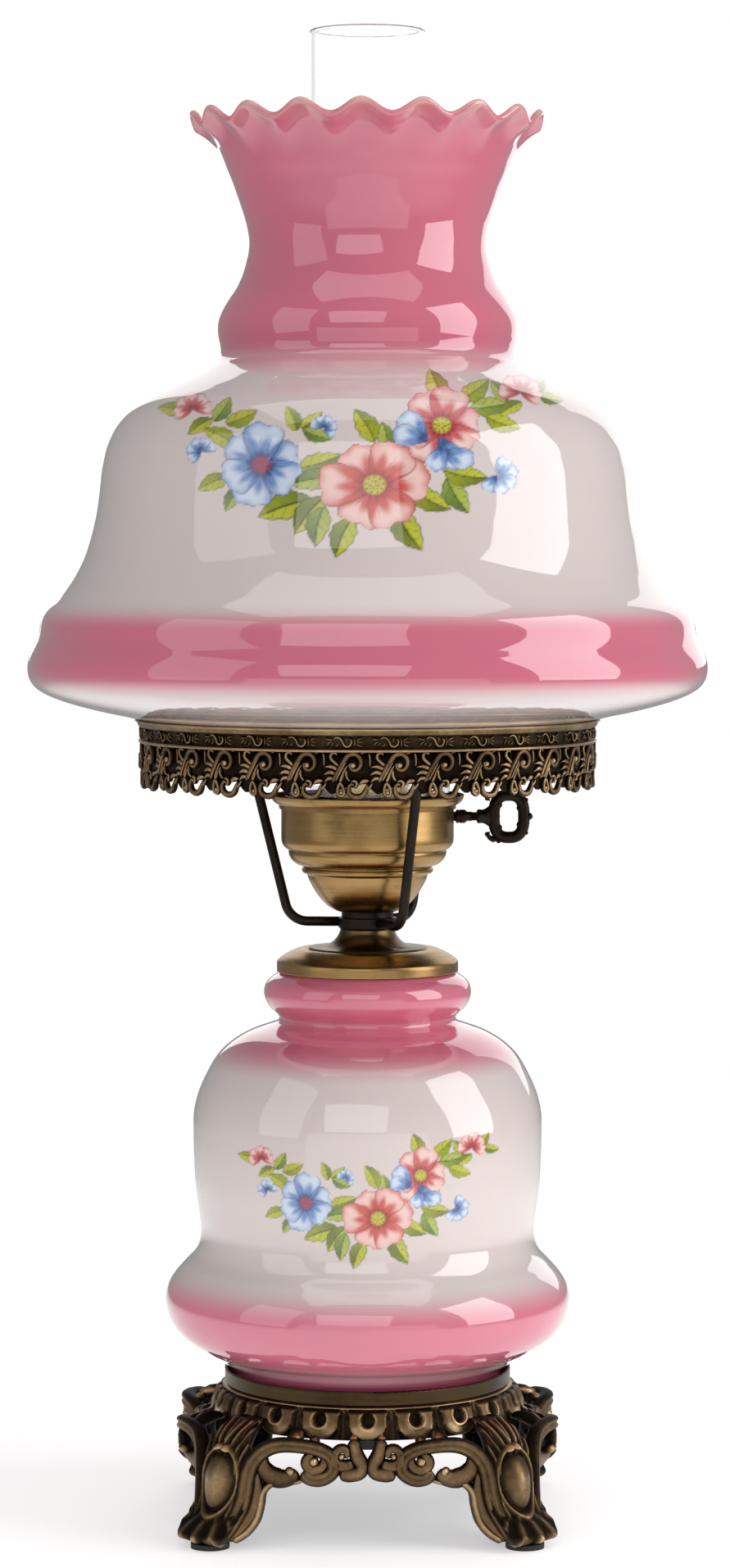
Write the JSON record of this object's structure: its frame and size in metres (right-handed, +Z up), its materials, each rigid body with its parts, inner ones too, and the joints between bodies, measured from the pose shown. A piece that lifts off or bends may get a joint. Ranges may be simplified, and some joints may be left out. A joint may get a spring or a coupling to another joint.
{
  "type": "table lamp",
  "caption": "Parlour table lamp in oil lamp form: footed cast base, glass font, key-operated burner-shaped cup, pierced ring with a crimped glass shade, and a clear chimney.",
  "frame": {"origin": "on the table under the pads, on the lamp's vertical axis", "axes": "+Z up, -Y the decorated front, +X the side the turn key points to"},
  "size_m": [0.2716, 0.2716, 0.5954],
  "materials": {
    "cast_brass": "antiqued cast brass, dark in the recesses and rubbed bright on the edges",
    "spun_brass": "antiqued spun brass with fine turned brush lines",
    "dark_bronze": "near-black bronze, satin",
    "plain_brass": "plain lacquered",
    "plain_steel": "zinc plated",
    "plain_aluminium": "bright rolled",
    "opal_glass": "white opal glass shaded to pink at top and bottom, gloss, with a painted flower spray on the front",
    "clear_glass": "clear, gloss",
    "bulb_glass": "frosted inside",
    "gasket_rubber": "matt",
    "felt_pads": "matt black",
    "black_plastic": "moulded",
    "white_plastic": "moulded",
    "card_liner": "fibre board"
  },
  "bodies": {
    "lamp": {"foot_pads": "felt_pads", "base_casting": "cast_brass", "seating_cup": "spun_brass", "foot_gasket": "gasket_rubber", "glass_font": "opal_glass", "lip_gasket": "gasket_rubber", "vase_cap": "spun_brass", "neck": "spun_brass", "holder_hub": "dark_bronze", "lamp_pipe": "plain_steel", "base_washer": "plain_steel", "base_nut": "plain_steel", "cup_nut": "plain_steel", "cord_bushing": "black_plastic", "burner_cup": "spun_brass", "chimney_seat": "spun_brass", "holder_arms": "dark_bronze", "shade_shelf": "dark_bronze", "shade_gallery": "cast_brass", "socket_cap": "plain_brass", "socket_shell": "plain_brass", "socket_liner": "card_liner", "switch_block": "black_plastic", "screw_shell": "plain_aluminium", "centre_contact": "plain_brass", "bulb_cap": "plain_aluminium", "bulb_envelope": "bulb_glass", "night_strap": "plain_steel", "strap_collar": "plain_brass", "night_socket": "white_plastic", "night_bulb_cap": "plain_aluminium", "night_bulb_envelope": "bulb_glass"},
    "shade": {"glass_shade": "opal_glass"},
    "chimney": {"glass_chimney": "clear_glass"},
    "key": {"switch_shaft": "dark_bronze", "turn_key": "dark_bronze"}
  },
  "joints": [
    {"name": "shade_lift", "type": "slide", "parent": "lamp", "child": "shade", "axis": [0, 0, 1], "range_m": [0, 0.29]},
    {"name": "chimney_lift", "type": "slide", "parent": "lamp", "child": "chimney", "axis": [0, 0, 1], "range_m": [0, 0.05]},
    {"name": "key_turn", "type": "hinge", "parent": "lamp", "child": "key", "pos_m": [0.03, 0, 0.2823], "axis": [1, 0, 0], "continuous": true}
  ]
}
